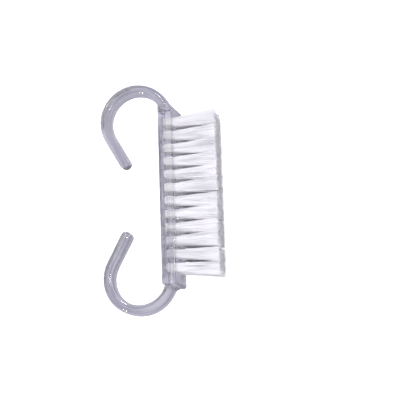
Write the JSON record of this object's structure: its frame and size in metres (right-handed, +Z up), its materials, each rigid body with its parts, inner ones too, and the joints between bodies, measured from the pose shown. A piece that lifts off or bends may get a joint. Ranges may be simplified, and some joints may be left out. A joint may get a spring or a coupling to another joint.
{
  "type": "acrylic nail brush",
  "caption": "Clear moulded nail brush with a straight tufted block, two inward-curling finger hooks and rows of stiff white bristle tufts.",
  "frame": {"origin": "middle of the bounding box in X and Y, on the surface the brush lies on (Z = 0)", "axes": "+X along the bristles from the block to the tips, +Y along the brush from one hook to the other, +Z up across the brush's width, from the side it lies on to the other side"},
  "size_m": [0.0334, 0.065, 0.012],
  "materials": {
    "clear_plastic": "gloss",
    "bristle_nylon": "satin",
    "staple_wire": "satin"
  },
  "bodies": {
    "root": {"handle": "clear_plastic", "staples": "staple_wire", "tuft_lower_01": "bristle_nylon", "tuft_lower_02": "bristle_nylon", "tuft_lower_03": "bristle_nylon", "tuft_lower_04": "bristle_nylon", "tuft_lower_05": "bristle_nylon", "tuft_lower_06": "bristle_nylon", "tuft_lower_07": "bristle_nylon", "tuft_lower_08": "bristle_nylon", "tuft_lower_09": "bristle_nylon", "tuft_lower_10": "bristle_nylon", "tuft_lower_11": "bristle_nylon", "tuft_lower_12": "bristle_nylon", "tuft_middle_01": "bristle_nylon", "tuft_middle_02": "bristle_nylon", "tuft_middle_03": "bristle_nylon", "tuft_middle_04": "bristle_nylon", "tuft_middle_05": "bristle_nylon", "tuft_middle_06": "bristle_nylon", "tuft_middle_07": "bristle_nylon", "tuft_middle_08": "bristle_nylon", "tuft_middle_09": "bristle_nylon", "tuft_middle_10": "bristle_nylon", "tuft_middle_11": "bristle_nylon", "tuft_middle_12": "bristle_nylon", "tuft_upper_01": "bristle_nylon", "tuft_upper_02": "bristle_nylon", "tuft_upper_03": "bristle_nylon", "tuft_upper_04": "bristle_nylon", "tuft_upper_05": "bristle_nylon", "tuft_upper_06": "bristle_nylon", "tuft_upper_07": "bristle_nylon", "tuft_upper_08": "bristle_nylon", "tuft_upper_09": "bristle_nylon", "tuft_upper_10": "bristle_nylon", "tuft_upper_11": "bristle_nylon", "tuft_upper_12": "bristle_nylon"}
  },
  "joints": []
}
